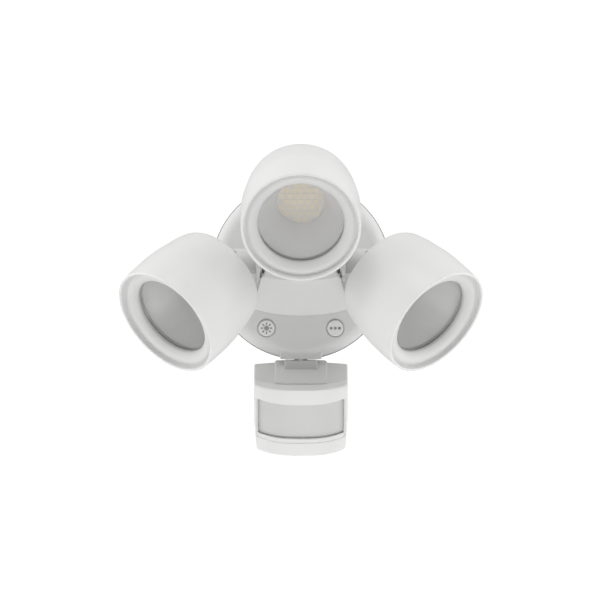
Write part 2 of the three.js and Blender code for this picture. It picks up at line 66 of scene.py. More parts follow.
WINDOW_HALF, WINDOW_TOP, WINDOW_BOTTOM = 32.3, -10.3, -38.7
WINDOW_SAG = 1.9
SHANK_R, SENSOR_BORE_R, POCKET_R = 4.6, 2.2, 5.6
SIDES = (("left", -1), ("right", 1))

# ---- the studio: metres, watts, and strengths of its panels ----
VIEW_DISTANCE, VIEW_WIDTH = 9.0, 0.45
VIEW_X, VIEW_Z = -0.00066, -0.02265
AMBIENT, OVERHEAD, BESIDE, BACKDROP = 0.05, 0.50, 1.50, 1.05
LIGHT_SIZE, KEY_POWER, FILL_POWER = 1.2, 15.0, 9.6


# ---- camera and lights ----
def node(tree, kind, **values):
    """New node; each value sets an attribute or, with spaces for underscores, an input."""
    made = tree.nodes.new(kind)
    for key, value in values.items():
        if hasattr(made, key):
            setattr(made, key, value)
        else:
            made.inputs[key.replace("_", " ")].default_value = value
    return made


def aim(obj, target):
    obj.rotation_mode = "QUATERNION"
    obj.rotation_quaternion = (Vector(target) - obj.location).to_track_quat("-Z", "Y")


def make_camera():
    data = bpy.data.cameras.new("camera")
    data.sensor_width = 36
    data.lens = data.sensor_width * VIEW_DISTANCE / VIEW_WIDTH
    data.clip_start, data.clip_end = 0.1, 60
    cam = bpy.data.objects.new("camera", data)
    bpy.context.collection.objects.link(cam)
    cam.location = (VIEW_X, -VIEW_DISTANCE, VIEW_Z)
    aim(cam, (VIEW_X, 0, VIEW_Z))
    bpy.context.scene.camera = cam


def make_light(name, location, target, size, power):
    data = bpy.data.lights.new(name, "AREA")
    data.shape = "DISK"
    data.size = size
    data.energy = power
    lamp = bpy.data.objects.new(name, data)
    bpy.context.collection.objects.link(lamp)
    lamp.location = location
    aim(lamp, target)


def make_world():
    """A pale studio: bright panels to both sides and above, and a plain white backdrop for the camera."""
    world = bpy.data.worlds.new("studio")
    bpy.context.scene.world = world
    world.use_nodes = True
    tree = world.node_tree
    tree.nodes.clear()
    out = node(tree, "ShaderNodeOutputWorld")
    shade = node(tree, "ShaderNodeBackground", Color=(1, 1, 1, 1))
    seen = node(tree, "ShaderNodeBackground", Color=(1, 1, 1, 1), Strength=BACKDROP)
    path = node(tree, "ShaderNodeLightPath")
    mix = node(tree, "ShaderNodeMixShader")
    coords = node(tree, "ShaderNodeTexCoord")
    split = node(tree, "ShaderNodeSeparateXYZ")
    above = node(tree, "ShaderNodeMapRange", interpolation_type="SMOOTHSTEP",
                 From_Min=0.0, From_Max=1.0, To_Min=AMBIENT, To_Max=OVERHEAD)
    beside = node(tree, "ShaderNodeMath", operation="MULTIPLY")
    total = node(tree, "ShaderNodeMath", operation="MULTIPLY_ADD")
    total.inputs[1].default_value = BESIDE
    for source, target in (
        (coords.outputs["Generated"], split.inputs[0]),
        (split.outputs["Z"], above.inputs["Value"]),
        (split.outputs["X"], beside.inputs[0]),
        (split.outputs["X"], beside.inputs[1]),
        (beside.outputs[0], total.inputs[0]),
        (above.outputs["Result"], total.inputs[2]),
        (total.outputs[0], shade.inputs["Strength"]),
        (path.outputs["Is Camera Ray"], mix.inputs[0]),
        (shade.outputs[0], mix.inputs[1]),
        (seen.outputs[0], mix.inputs[2]),
        (mix.outputs[0], out.inputs["Surface"]),
    ):
        tree.links.new(source, target)


def make_stage():
    bpy.context.scene.view_settings.view_transform = "Standard"
    make_camera()
    make_world()
    make_light("key", (-0.2, -1.2, 2.0), (0, -0.05, -0.02), LIGHT_SIZE, KEY_POWER)
    make_light("fill", (0.1, -1.2, -1.5), (0, -0.05, -0.05), LIGHT_SIZE, FILL_POWER)


# ---- meshes ----
def unit(v):
    length = math.hypot(*v)
    return (v[0] / length, v[1] / length) if length else (0.0, 0.0)


def rounded(points, closed=True, steps=5):
    """Polyline of (a, b) or (a, b, radius) corners with each corner rounded."""
    made, n = [], len(points)
    for i, p in enumerate(points):
        radius = p[2] if len(p) > 2 else 0
        inside = closed or 0 < i < n - 1
        if not radius or not inside:
            made.append((p[0], p[1]))
            continue
        before, after = points[i - 1], points[(i + 1) % n]
        u = unit((before[0] - p[0], before[1] - p[1]))
        v = unit((after[0] - p[0], after[1] - p[1]))
        angle = math.acos(max(-1, min(1, u[0] * v[0] + u[1] * v[1])))
        if angle > math.pi - 0.02:
            made.append((p[0], p[1]))
            continue
        reach = radius / math.tan(angle / 2)
        limit = 0.49 * min(math.dist(p[:2], before[:2]), math.dist(p[:2], after[:2]))
        reach = min(reach, limit)
        radius = reach * math.tan(angle / 2)
        mid = unit((u[0] + v[0], u[1] + v[1]))
        away = radius / math.sin(angle / 2)
        centre = (p[0] + mid[0] * away, p[1] + mid[1] * away)
        start = (p[0] + u[0] * reach, p[1] + u[1] * reach)
        stop = (p[0] + v[0] * reach, p[1] + v[1] * reach)
        a0 = math.atan2(start[1] - centre[1], start[0] - centre[0])
        a1 = math.atan2(stop[1] - centre[1], stop[0] - centre[0])
        turn = (a1 - a0 + math.pi) % (2 * math.pi) - math.pi
        for k in range(steps + 1):
            a = a0 + turn * k / steps
            made.append((centre[0] + radius * math.cos(a), centre[1] + radius * math.sin(a)))
    return made


def spline(points, steps=6):
    """Smooth open curve through 2-D points."""
    ext = [points[0], *points, points[-1]]
    made = []
    for i in range(1, len(ext) - 2):
        p0, p1, p2, p3 = ext[i - 1 : i + 3]
        for k in range(steps):
            t = k / steps
            made.append(tuple(
                0.5 * (2 * b + (c - a) * t + (2 * a - 5 * b + 4 * c - d) * t * t
                       + (3 * b - a - 3 * c + d) * t ** 3)
                for a, b, c, d in zip(p0[:2], p1[:2], p2[:2], p3[:2])))
    made.append(tuple(points[-1][:2]))
    return made


def mirrored(points):
    """The points in reverse order, on the other side of x = 0."""
    return [(-x, z) for x, z in reversed(points)]


def new_object(name, verts, faces, matrix=None):
    """Mesh object from millimetre points, closed and facing out."""
    mesh = bpy.data.meshes.new(name)
    mesh.from_pydata([tuple(c * MM for c in v) for v in verts], [], faces)
    bm = bmesh.new()
    bm.from_mesh(mesh)
    bmesh.ops.remove_doubles(bm, verts=bm.verts, dist=1e-7)
    bmesh.ops.recalc_face_normals(bm, faces=bm.faces)
    if bm.calc_volume(signed=True) < 0:
        bmesh.ops.reverse_faces(bm, faces=bm.faces)
    bm.to_mesh(mesh)
    bm.free()
    if matrix is not None:
        mesh.transform(matrix)
    obj = bpy.data.objects.new(name, mesh)
    bpy.context.collection.objects.link(obj)
    return obj


def lathe(name, profile, matrix=None, segments=96):
    """Solid of revolution about +Y of (radius, along) points."""
    verts, faces, rings = [], [], []
    for r, y in profile:
        if r < 1e-6:
            rings.append([len(verts)])
            verts.append((0, y, 0))
        else:
            rings.append(list(range(len(verts), len(verts) + segments)))
            for k in range(segments):
                a = 2 * math.pi * k / segments
                verts.append((r * math.cos(a), y, r * math.sin(a)))
    pairs = list(zip(rings, rings[1:]))
    if not (len(rings[0]) == 1 and len(rings[-1]) == 1):
        pairs.append((rings[-1], rings[0]))
    for a, b in pairs:
        for k in range(segments):
            m = (k + 1) % segments
            if len(a) == 1 and len(b) == 1:
                continue
            if len(a) == 1:
                faces.append((a[0], b[k], b[m]))
            elif len(b) == 1:
                faces.append((a[k], a[m], b[0]))
            else:
                faces.append((a[k], a[m], b[m], b[k]))
    return new_object(name, verts, faces, matrix)


def loft(name, loops, matrix=None, ring=False):
    """Skin over equal-length closed loops of 3-D points; ring joins the last loop to the first."""
    n = len(loops[0])
    verts = [p for loop in loops for p in loop]
    faces = []
    count = len(loops)
    for i in range(count if ring else count - 1):
        a, b = i * n, ((i + 1) % count) * n
        for k in range(n):
            m = (k + 1) % n
            faces.append((a + k, a + m, b + m, b + k))
    if not ring:
        faces.append(tuple(range(n)))
        faces.append(tuple(range((count - 1) * n, count * n)))
    return new_object(name, verts, faces, matrix)


def prism(name, outline, low, high, axis="y", matrix=None, bevel=0.0, steps=3):
    """Outline swept along Y or Z; bevel rounds both ends' edges by insetting."""
    def at(p, depth):
        return (p[0], depth, p[1]) if axis == "y" else (p[0], p[1], depth)

    def ring(inset, depth):
        if inset <= 0:
            return [at(p, depth) for p in outline]
        made, n = [], len(outline)
        area = sum(outline[i][0] * outline[(i + 1) % n][1] - outline[(i + 1) % n][0] * outline[i][1]
                   for i in range(n))
        turn = 1 if area > 0 else -1
        for i, p in enumerate(outline):
            a, b = outline[i - 1], outline[(i + 1) % n]
            e0 = unit((p[0] - a[0], p[1] - a[1]))
            e1 = unit((b[0] - p[0], b[1] - p[1]))
            n0, n1 = (-e0[1] * turn, e0[0] * turn), (-e1[1] * turn, e1[0] * turn)
            mid = unit((n0[0] + n1[0], n0[1] + n1[1]))
            scale = inset / max(0.35, mid[0] * n0[0] + mid[1] * n0[1])
            made.append(at((p[0] + mid[0] * scale, p[1] + mid[1] * scale), depth))
        return made

    loops = []
    if bevel > 0:
        for k in range(steps + 1):
            a = math.pi / 2 * k / steps
            loops.append(ring(bevel * (1 - math.sin(a)), low + bevel * (1 - math.cos(a))))
        for k in range(steps, -1, -1):
            a = math.pi / 2 * k / steps
            loops.append(ring(bevel * (1 - math.sin(a)), high - bevel * (1 - math.cos(a))))
    else:
        loops = [ring(0, low), ring(0, high)]
    return loft(name, loops, matrix)


def box(name, x0, x1, y0, y1, z0, z1, radius=0.0, matrix=None, corner=None):
    corner = radius if corner is None else corner
    outline = rounded([(x0, z0, corner), (x1, z0, corner), (x1, z1, corner), (x0, z1, corner)])
    if not corner:
        outline = [(x0, z0), (x1, z0), (x1, z1), (x0, z1)]
    return prism(name, outline, y0, y1, "y", matrix, bevel=radius)


def rod(name, start, end, radius, segments=48, matrix=None):
    """Plain cylinder between two points, used as a cutter or as a joined part."""
    start, end = Vector(start), Vector(end)
    turn = Y_AXIS.rotation_difference(end - start).to_matrix().to_4x4()
    place = Matrix.Translation(start * MM) @ turn
    if matrix is not None:
        place = matrix @ place
    length = (end - start).length
    return lathe(name, [(0, 0), (radius, 0), (radius, length), (0, length)], place, segments)


def combine(target, others, operation):
    """Boolean of target with each of others, which are used up."""
    for other in others:
        mod = target.modifiers.new("bool", "BOOLEAN")
        mod.operation = operation
        mod.solver = "MANIFOLD"
        mod.object = other
        bpy.context.view_layer.update()
        graph = bpy.context.evaluated_depsgraph_get()
        mesh = bpy.data.meshes.new_from_object(target.evaluated_get(graph))
        target.modifiers.clear()
        old = target.data
        target.data = mesh
        bpy.data.meshes.remove(old)
        bpy.data.objects.remove(other)
    return target


def cut(target, *others):
    return combine(target, others, "DIFFERENCE")


def join(target, *others):
    return combine(target, others, "UNION")


def meet(target, *others):
    return combine(target, others, "INTERSECT")


def smooth(obj):
    """Smooth shading that stays crisp at edges sharper than 32 degrees."""
    mesh = obj.data
    mesh.polygons.foreach_set("use_smooth", [True] * len(mesh.polygons))
    mesh.set_sharp_from_angle(angle=math.radians(32))
    mod = obj.modifiers.new("normals", "WEIGHTED_NORMAL")
    mod.keep_sharp = True


def place(obj, body, mat, slot, *nodes, name=None):
    """Gives a finished piece its name, shading, material and body, and hides the parts it replaces; the
    slot argument is not used.
    """
    if name:
        obj.name = name
    obj.data.name = obj.name
    smooth(obj)
    obj.data.materials.clear()
    obj.data.materials.append(mat)
    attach(obj, body)
    if nodes:
        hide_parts(*nodes)
    return obj


def basis(x_axis, y_axis, origin):
    """Frame at origin (millimetres) with the given X and Y directions."""
    z = x_axis.cross(y_axis)
    rows = [(x_axis[i], y_axis[i], z[i], origin[i] * MM) for i in range(3)]
    return Matrix((*rows, (0, 0, 0, 1)))


# ---- materials; noise scales are cycles per metre, bump heights are metres ----
GLOSS_SCALE, DUST_SCALE = 90.0, 260.0


def noise_at(tree, coords, scale, detail):
    made = node(tree, "ShaderNodeTexNoise", Scale=scale, Detail=detail, Roughness=0.55)
    tree.links.new(coords, made.inputs["Vector"])
    return made.outputs["Fac"]


def remap(tree, value, low, high, from_low=0.3, from_high=0.7):
    made = node(tree, "ShaderNodeMapRange", From_Min=from_low, From_Max=from_high,
                To_Min=low, To_Max=high)
    tree.links.new(value, made.inputs["Value"])
    return made.outputs["Result"]


def blend(tree, factor, first, second):
    """Mix of two colours; each is a colour tuple or a socket."""
    made = tree.nodes.new("ShaderNodeMix")
    made.data_type = "RGBA"
    tree.links.new(factor, made.inputs[0])
    for socket, value in ((made.inputs[6], first), (made.inputs[7], second)):
        if isinstance(value, tuple):
            socket.default_value = (*value, 1)
        else:
            tree.links.new(value, socket)
    return made.outputs[2]


def moulded(name, low, high, rough=(0.42, 0.52), grain=1500.0, bump=0.000012, patch=22.0,
            metallic=0.0, dust=None, **sockets):
    """Surface with uneven colour, uneven gloss and a fine moulded or painted grain."""
    mat = bpy.data.materials.new(name)
    mat.use_nodes = True
    tree = mat.node_tree
    shader = tree.nodes["Principled BSDF"]
    coords = tree.nodes.new("ShaderNodeTexCoord").outputs["Object"]
    clouds = remap(tree, noise_at(tree, coords, patch, 4), 0, 1)
    colour = blend(tree, clouds, low, high)
    if dust:
        specks = remap(tree, noise_at(tree, coords, DUST_SCALE, 2), 0, 1, 0.62, 0.72)
        colour = blend(tree, specks, colour, dust)
    tree.links.new(colour, shader.inputs["Base Color"])
    gloss = remap(tree, noise_at(tree, coords, GLOSS_SCALE, 4), rough[0], rough[1])
    tree.links.new(gloss, shader.inputs["Roughness"])
    if bump:
        height = noise_at(tree, coords, grain, 2)
        made = node(tree, "ShaderNodeBump", Strength=0.6, Distance=bump)
        tree.links.new(height, made.inputs["Height"])
        tree.links.new(made.outputs["Normal"], shader.inputs["Normal"])
    shader.inputs["Metallic"].default_value = metallic
    for key, value in sockets.items():
        shader.inputs[key.replace("_", " ")].default_value = value
    return mat


def clear_to_light(mat):
    """Lets light through a pane, so that what is behind it is lit."""
    tree = mat.node_tree
    shader, out = tree.nodes["Principled BSDF"], tree.nodes["Material Output"]
    mix = tree.nodes.new("ShaderNodeMixShader")
    tree.links.new(tree.nodes.new("ShaderNodeLightPath").outputs["Is Shadow Ray"], mix.inputs[0])
    tree.links.new(shader.outputs[0], mix.inputs[1])
    tree.links.new(tree.nodes.new("ShaderNodeBsdfTransparent").outputs[0], mix.inputs[2])
    tree.links.new(mix.outputs[0], out.inputs["Surface"])
    return mat


def make_materials():
    return {
        "shell": moulded("white_paint", (0.775, 0.775, 0.77), (0.81, 0.81, 0.80),
                         rough=(0.38, 0.48), grain=1300, bump=0.000014),
        # White trim plastic, a little greyer than the shell: partly its own tone, and partly painted shade
        # for the shaded necks and lock nuts between the heads.
        "trim": moulded("white_plastic", (0.69, 0.69, 0.685), (0.73, 0.73, 0.72),
                        rough=(0.45, 0.55), grain=2200, bump=0.000010),
        "glass": clear_to_light(moulded("lens_glass", (0.88, 0.88, 0.88), (0.92, 0.92, 0.92),
                                        rough=(0.03, 0.06), grain=2600, bump=0.000002,
                                        Transmission_Weight=0.91, IOR=1.45)),
        "film": moulded("milky_film", (0.69, 0.69, 0.685), (0.73, 0.73, 0.725),
                        grain=2600, bump=0.000006),
        "reflector": moulded("satin_reflector", (0.54, 0.54, 0.54), (0.60, 0.60, 0.60),
                             rough=(0.34, 0.44), grain=1800, bump=0.000008, metallic=0.20),
        "led": moulded("led_board_mask", (0.38, 0.34, 0.24), (0.44, 0.40, 0.30),
                       rough=(0.4, 0.5), grain=1800),
        "chip": moulded("led_phosphor", (0.50, 0.35, 0.06), (0.58, 0.43, 0.11),
                        rough=(0.35, 0.5), patch=160, grain=2600),
        "chip_frame": moulded("led_package", (0.50, 0.42, 0.26), (0.56, 0.48, 0.32),
                              rough=(0.35, 0.45), grain=2600),
        # Lamp heads' paint, lighter than the shell's white although it is the same paint: painted light on
        # the lamp barrels.
        "head": moulded("head_paint_with_painted_light", (0.82, 0.82, 0.815), (0.85, 0.85, 0.84),
                        rough=(0.38, 0.48), grain=1300, bump=0.000014),
        # Brighter, glossier white for the ring on each lamp's lip: a painted highlight along the lip's
        # edge.
        "painted_lip_highlight": moulded("white_enamel", (0.90, 0.90, 0.895), (0.93, 0.93, 0.925),
                          rough=(0.22, 0.30), grain=1800, bump=0.000004),
        # Sensor front and button caps: a whiter plastic than the shell, the extra whiteness partly painted
        # light for the light on the sensor's front and the button faces.
        "cover": moulded("whiter_plastic_and_painted_light", (0.88, 0.88, 0.875), (0.91, 0.91, 0.90),
                         rough=(0.38, 0.48), grain=1900, bump=0.000010),
        "silicone": moulded("grey_silicone", (0.42, 0.42, 0.42), (0.50, 0.50, 0.50),
                            rough=(0.5, 0.65), grain=1400, bump=0.00002),
        "alu": moulded("cast_aluminium", (0.50, 0.51, 0.52), (0.62, 0.63, 0.64),
                       rough=(0.35, 0.5), grain=900, bump=0.00003, metallic=0.9),
        "steel": moulded("zinc_steel", (0.46, 0.47, 0.48), (0.60, 0.60, 0.59),
                         rough=(0.34, 0.48), grain=700, bump=0.00001, metallic=0.95, patch=120),
        "rubber": moulded("black_rubber", (0.022, 0.022, 0.023), (0.036, 0.036, 0.037),
                          rough=(0.65, 0.8), grain=1400, bump=0.00003),
        "board": moulded("green_solder_mask", (0.020, 0.110, 0.045), (0.030, 0.150, 0.065),
                         rough=(0.28, 0.4), grain=1200, dust=(0.045, 0.20, 0.09)),
        "dark": moulded("dark_plastic", (0.035, 0.037, 0.040), (0.055, 0.057, 0.060),
                        rough=(0.45, 0.6), grain=1300, bump=0.00002),
        "print": moulded("grey_print", (0.30, 0.30, 0.30), (0.38, 0.38, 0.38),
                         rough=(0.5, 0.6), grain=2600, patch=300),
        "floor": moulded("pale_floor", (0.84, 0.84, 0.84), (0.87, 0.87, 0.87),
                         rough=(0.6, 0.7), grain=60, bump=0.0002, patch=2.0),
    }


# ---- base ----
def canopy_profile():
    face, back, edge, edge_depth, steps = -CANOPY_FACE, -2.1, 9.75, 9.0, 12
    start = CANOPY_R - edge
    rim = []
    for k in range(steps + 1):
        a = math.pi / 2 * k / steps
        rim.append((start + edge * math.sin(a), face + edge_depth * (1 - math.cos(a))))
    inside = [(64, back), (64, face + 9), (62.4, face + 5.6), (60.2, face + 3.5), (57, face + 2.5),
              (0, face + 2.5)]
    return [(0, face), (40, face), *rim, (CANOPY_R, back - 0.5), (CANOPY_R - 0.5, back), *inside]


def shifted(x, z):
    """Moved across the wall by (x, z) millimetres."""
    return Matrix.Translation((x * MM, 0, z * MM))


def around(count, matrix, offset=0.0):
    """The matrix turned to each of count equal steps about its Y axis."""
    for k in range(count):
        yield matrix @ Matrix.Rotation(2 * math.pi * (k + offset) / count, 4, "Y")


def joined(parts):
    return join(parts[0], *parts[1:])


def build_base(m):
    slots = []
    arm, half = 52, 9
    corners, outline = [(arm, -half, 2), (arm, half, 2), (half, half, 2.5)], []
    for _ in range(4):
        outline += corners
        corners = [(-z, x, r) for x, z, r in corners]
    strap = prism("mounting_strap", rounded(outline), -2, 0, bevel=0.3, steps=2)
    for x, z, straight, r, along_x in ((0, SCREW_X, 3, 2.3, False), (0, -SCREW_X, 3, 2.3, False),
                                   (22, 0, 5, 2.2, True), (-22, 0, 5, 2.2, True)):
        u, v = (straight + r, r) if along_x else (r, straight + r)
        slots.append(box("slot", x - u, x + u, -4, 1, z - v, z + v, corner=r * 0.999))
    for _, s in SIDES:
        slots.append(rod("hole", (s * SCREW_X, -4, 0), (s * SCREW_X, 1, 0), 2.3))
    place(cut(strap, *slots), "base", m["steel"], "steel", "mounting_strap", name="strap")

    # The gasket is black rubber; its outer edge reaches 0.5 mm past the canopy's rim, so it shows as a thin
    # dark line round the canopy: painted shade on the rim's edge.
    inner, outer, thick = 59.5, 67.25, 1.8
    seal = lathe("gasket", rounded([(inner, 0, 0.4), (outer, 0, 0.3), (outer, -thick, 0.2),
                                    (inner, -thick, 0.4)]))
    place(seal, "base", m["rubber"], "rubber", "wall_gasket")

    canopy = lathe("canopy_dish", canopy_profile(), segments=144)
    boss = box("boss", -15.85, 15.85, -21.5, -8.5, -66.9, -57, radius=1.1, corner=1.6)
    posts = [rod("post", (s * SCREW_X, -3.2, 0), (s * SCREW_X, -23, 0), 5) for _, s in SIDES]
    join(canopy, boss, *posts)
    holes = [
        rod("neck_hole", (0, SENSOR_PIVOT.y, -72), (0, SENSOR_PIVOT.y, -52), SHANK_R + BORE_PLAY),
        box("neck_room", -9, 9, -20.7, -3.3, -63.7, -50, corner=1),
        rod("port", (0, -25, -4), (0, -19, -4), 16),
    ]
    for _, s in SIDES:
        holes.append(rod("screw_hole", (s * SCREW_X, -25, 0), (s * SCREW_X, 1, 0), 2.35))
        holes.append(lathe("recess", [(0, -26), (7.3, -26), (7.3, -24), (7, -23.7), (7, -23.35),
                                      (6.85, -23.2), (0, -23.2)], shifted(s * BUTTON_X, BUTTON_Z), 64))
        holes.append(rod("bore", (s * BUTTON_X, -25, BUTTON_Z), (s * BUTTON_X, -18, BUTTON_Z),
                         BUTTON_R + GAP, 64))
    place(cut(canopy, *holes), "base", m["shell"], "white_shell", "canopy")

    for side, s in SIDES:
        line = [(0, -0.2), (1.6, -0.2), (2, -0.8), (2, -24.3), (4.3, -24.3, 0.3), (4.1, -25.2, 0.6),
                (2.9, -26.4, 0.6), (0, -26.6)]
        screw = lathe("screw", rounded(line, closed=False), shifted(s * SCREW_X, 0), 40)
        place(cross_recess(screw, Matrix.Translation((s * SCREW_X * MM, -26.7 * MM, 0))),
              "base", m["steel"], "steel", f"canopy_screw_{side}", name=f"canopy_screw_head_{side}")
    build_inside(m)


def cross_recess(screw, matrix):
    """Crossed drive recess; in matrix's frame the head's top is at 0 and the recess goes to +Y."""
    depth, reach, half = 1.6, 2.1, 0.42
    bars = []
    for u, v in ((reach, half), (half, reach)):
        top = [(-u, -v), (u, -v), (u, v), (-u, v)]
        low = [(p[0] * 0.45 if u == reach else p[0] * 0.8, p[1] * 0.45 if v == reach else p[1] * 0.8)
               for p in top]
        loops = [[(p[0], -1, p[1]) for p in top], [(p[0], 0.2, p[1]) for p in top],
                 [(p[0], depth, p[1]) for p in low]]
        bars.append(loft("bar", loops, matrix))
    return cut(screw, *bars)


def build_inside(m):
    driver = box("driver_case", -30, 30, -19.5, -4.5, 16, 47, radius=1.2, corner=2.5)
    grooves = [box("groove", -26 + 6.5 * k, -24.4 + 6.5 * k, -5, -4, 20, 43, corner=0.6)
               for k in range(9)]
    place(cut(driver, *grooves), "base", m["dark"], "dark_plastic", "driver_module")

    terminal = box("terminal_body", -15, 15, -14, -4, -24, -14, radius=0.7)
    ways = [-11.6 + 5.8 * k for k in range(5)]
    holes = []
    for x in ways:
        holes.append(rod("screw_well", (x, -6.5, -17.6), (x, -3.5, -17.6), 1.7, 24))
        holes.append(box("wire_mouth", x - 1.8, x + 1.8, -12.4, -8.4, -25, -21, corner=0.6))
    place(cut(terminal, *holes), "base", m["trim"], "white_trim", "terminal_block")
    screws = []
    for x in ways:
        head = lathe("head", [(0, -6.6), (1.55, -6.6), (1.55, -5.6), (1.3, -5.3), (0, -5.3)],
                     shifted(x, -17.6), 24)
        screws.append(cut(head, box("slit", x - 2, x + 2, -5.8, -5, -17.9, -17.3)))
    place(joined(screws), "base", m["steel"], "steel", name="terminal_screws")

    pcb = box("control_pcb", -36, 36, -12.6, -11, BUTTON_Z - 8, BUTTON_Z + 8, radius=0.15, corner=1.2)
    cut(pcb, rod("hole", (0, -14, BUTTON_Z), (0, -9, BUTTON_Z), 2))
    place(pcb, "base", m["board"], "board", "control_board")
    chips = []
    for x, z, w, h, t in ((-12, -43, 3.5, 2.6, 1.4), (11, -45, 2.6, 2.6, 1.2), (19, -40, 1.4, 0.8, 0.8),
                          (19, -43.5, 1.4, 0.8, 0.8), (-20, -40.5, 0.8, 1.4, 0.8), (28, -46, 2, 2, 1.8),
                          (-28, -42, 2.2, 2.2, 2.4)):
        chips.append(box("chip", x - w, x + w, -11, -11 + t, z - h, z + h, radius=0.15))
    place(joined(chips), "base", m["dark"], "dark_plastic", name="board_chips")

    for side, s in SIDES:
        x = s * BUTTON_X
        body = box("switch_body", x - 3, x + 3, -15.3, -12.9, BUTTON_Z - 3, BUTTON_Z + 3, radius=0.3)
        join(body, rod("plunger", (x, -13, BUTTON_Z), (x, -16.3, BUTTON_Z), 1.7, 32))
        place(body, "base", m["dark"], "dark_plastic", f"switch_{side}", name=f"tact_switch_{side}")


# ---- hub ----
HUB_BOTTOM_LINE = [(0, -34.5), (13.5, -33.9), (25.5, -32.1), (33, -30.2), (36.2, -29.2)]
HUB_SIDE_LINE = [(36.2, -29.2), (34.2, -25.6), (32.1, -20), (30.3, -12), (29.2, -4), (28.7, 6),
                 (28.3, 12), (27.4, 16.7), (25.4, 19.3), (22.6, 20)]


def hub_outline():
    low = spline(mirrored(HUB_BOTTOM_LINE) + HUB_BOTTOM_LINE[1:], 5)
    side = spline(HUB_SIDE_LINE, 4)
    top = [(22.6 - 45.2 * k / 10, HUB_TOP) for k in range(1, 10)]
    whole = low + side[1:] + top + mirrored(side)[:-1]
    for _ in range(2):
        soft = []
        for i, (x, z) in enumerate(whole):
            near_corner = abs(abs(x) - 36) < 1.6 and z < -27
            if near_corner:
                a, b = whole[i - 1], whole[(i + 1) % len(whole)]
                x, z = (a[0] + 2 * x + b[0]) / 4, (a[1] + 2 * z + b[1]) / 4
            soft.append((x, z))
        whole = soft
    return whole


def hub_loops(inset, back, front):
    """Loops of the hub's skin; its lower side slopes up towards the front."""
    loops = []
    depth = HUB_FRONT - CANOPY_FACE
    outline = hub_outline()
    steps, roll_r, middle, slope_start = 22, 3.0, -2, 26
    for k in range(steps + 1):
        d = back + (front - back) * (1 - (1 - k / steps) ** 1.5)
        t = (d - CANOPY_FACE) / depth
        slope = max(0.0, (d - slope_start) / (front - slope_start)) ** 1.15
        over = max(0.0, d - (front - roll_r))
        roll = roll_r - math.sqrt(max(0.0, roll_r ** 2 - over * over))
        loop = []
        for x, z in outline:
            low = min(1.0, max(0.0, (10 - z) / 36))
            low = low * low * (3 - 2 * low)
            px = x * (1 - 0.06 * t) * (1 - 0.13 * slope * low)
            pz = HUB_TOP + (z - HUB_TOP) * (1 - 0.2 * t) + 14.0 * slope * low
            away = math.hypot(px, pz - middle)
            scale = max(0.1, 1 - (roll + inset) / away)
            loop.append((px * scale, -d, middle + (pz - middle) * scale))
        loops.append(loop)
    return loops


def build_hub(m):
    outer = loft("hub_shell", hub_loops(0, CANOPY_FACE + GAP, HUB_FRONT))
    inner = loft("hub_core", hub_loops(HUB_WALL, CANOPY_FACE - 2, HUB_FRONT - HUB_WALL))
    cutters = [inner]
    for _, s in SIDES:
        y, z = SIDE_PIVOT.y, SIDE_PIVOT.z
        cutters.append(rod("bore", (s * 15, y, z), (s * 45, y, z), ARM_R + BORE_PLAY, 64))
    cutters.append(rod("bore", (0, TOP_ARM_Y, 5), (0, TOP_ARM_Y, 45), ARM_R + BORE_PLAY, 64))
    place(cut(outer, *cutters), "base", m["shell"], "white_shell", "hub")

    def lock_nut(side, matrix, start):
        inner, neck, flare, end = ARM_R + 0.4, 12.4, start + 1.3, start + 4.5
        ring = lathe("ring", rounded([(inner, start, 0.3), (neck, start), (neck, flare, 0.3),
                                      (NUT_R, flare, 0.6), (NUT_R, end, 1.0), (inner, end, 0.5)]), matrix)
        place(gripped(ring, matrix, start), "base", m["trim"], "white_trim", f"lock_ring_{side}",
              name=f"lock_nut_{side}")

    for side, s in SIDES:
        lock_nut(side, basis(Z_AXIS, Vector((s, 0, 0)), Vector((0, SIDE_PIVOT.y, SIDE_PIVOT.z))), 29.2)
    lock_nut("top", basis(X_AXIS, Z_AXIS, Vector((0, TOP_ARM_Y, 0))), HUB_TOP + GAP)


def gripped(ring, matrix, start):
    """Twelve shallow grip notches round a lock nut's edge."""
    notches = []
    for k in range(12):
        a = 2 * math.pi * (k + 0.5) / 12
        c = Vector((math.cos(a), 0, math.sin(a))) * (NUT_R + 1.15)
        notches.append(rod("notch", c + Vector((0, start + 0.5, 0)), c + Vector((0, start + 6, 0)),
                           1.9, 20, matrix))
    return cut(ring, *notches)


# ---- lamp heads ----
HOUSING_OUTSIDE = [(43.9, 0, 0), (44.4, 0.6), (44.8, 8), (44.9, 15), (44.8, 25), (44.1, 34), (42.7, 43),
                   (41.4, 51), (39.9, 57.5), (38.6, 61.4), (37, 63.7), (34.8, 64.7), (31.9, 65.3),
                   (28, 66.2), (24.2, 67.3)]
HOUSING_INSIDE = [(0, 62.3), (33, 62.3), (35.6, 61.2), (37.2, 58), (39.2, 50), (40.4, 43), (40.6, 14),
                  (42.7, 14), (42.7, 0.5), (43.0, 0.1)]


def lamp_line(points):
    """Points measured back from the lamp's lip, put in the lamp's own frame."""
    return [(p[0], LIP - p[1]) for p in points]


def disc(name, front, back, radius, corner, matrix, segments):
    """Flat disc across a lamp; front and back are depths behind its lip."""
    line = rounded([(0, front), (radius, front, corner), (radius, back, corner), (0, back)], closed=False)
    return lathe(name, lamp_line(line), matrix, segments)


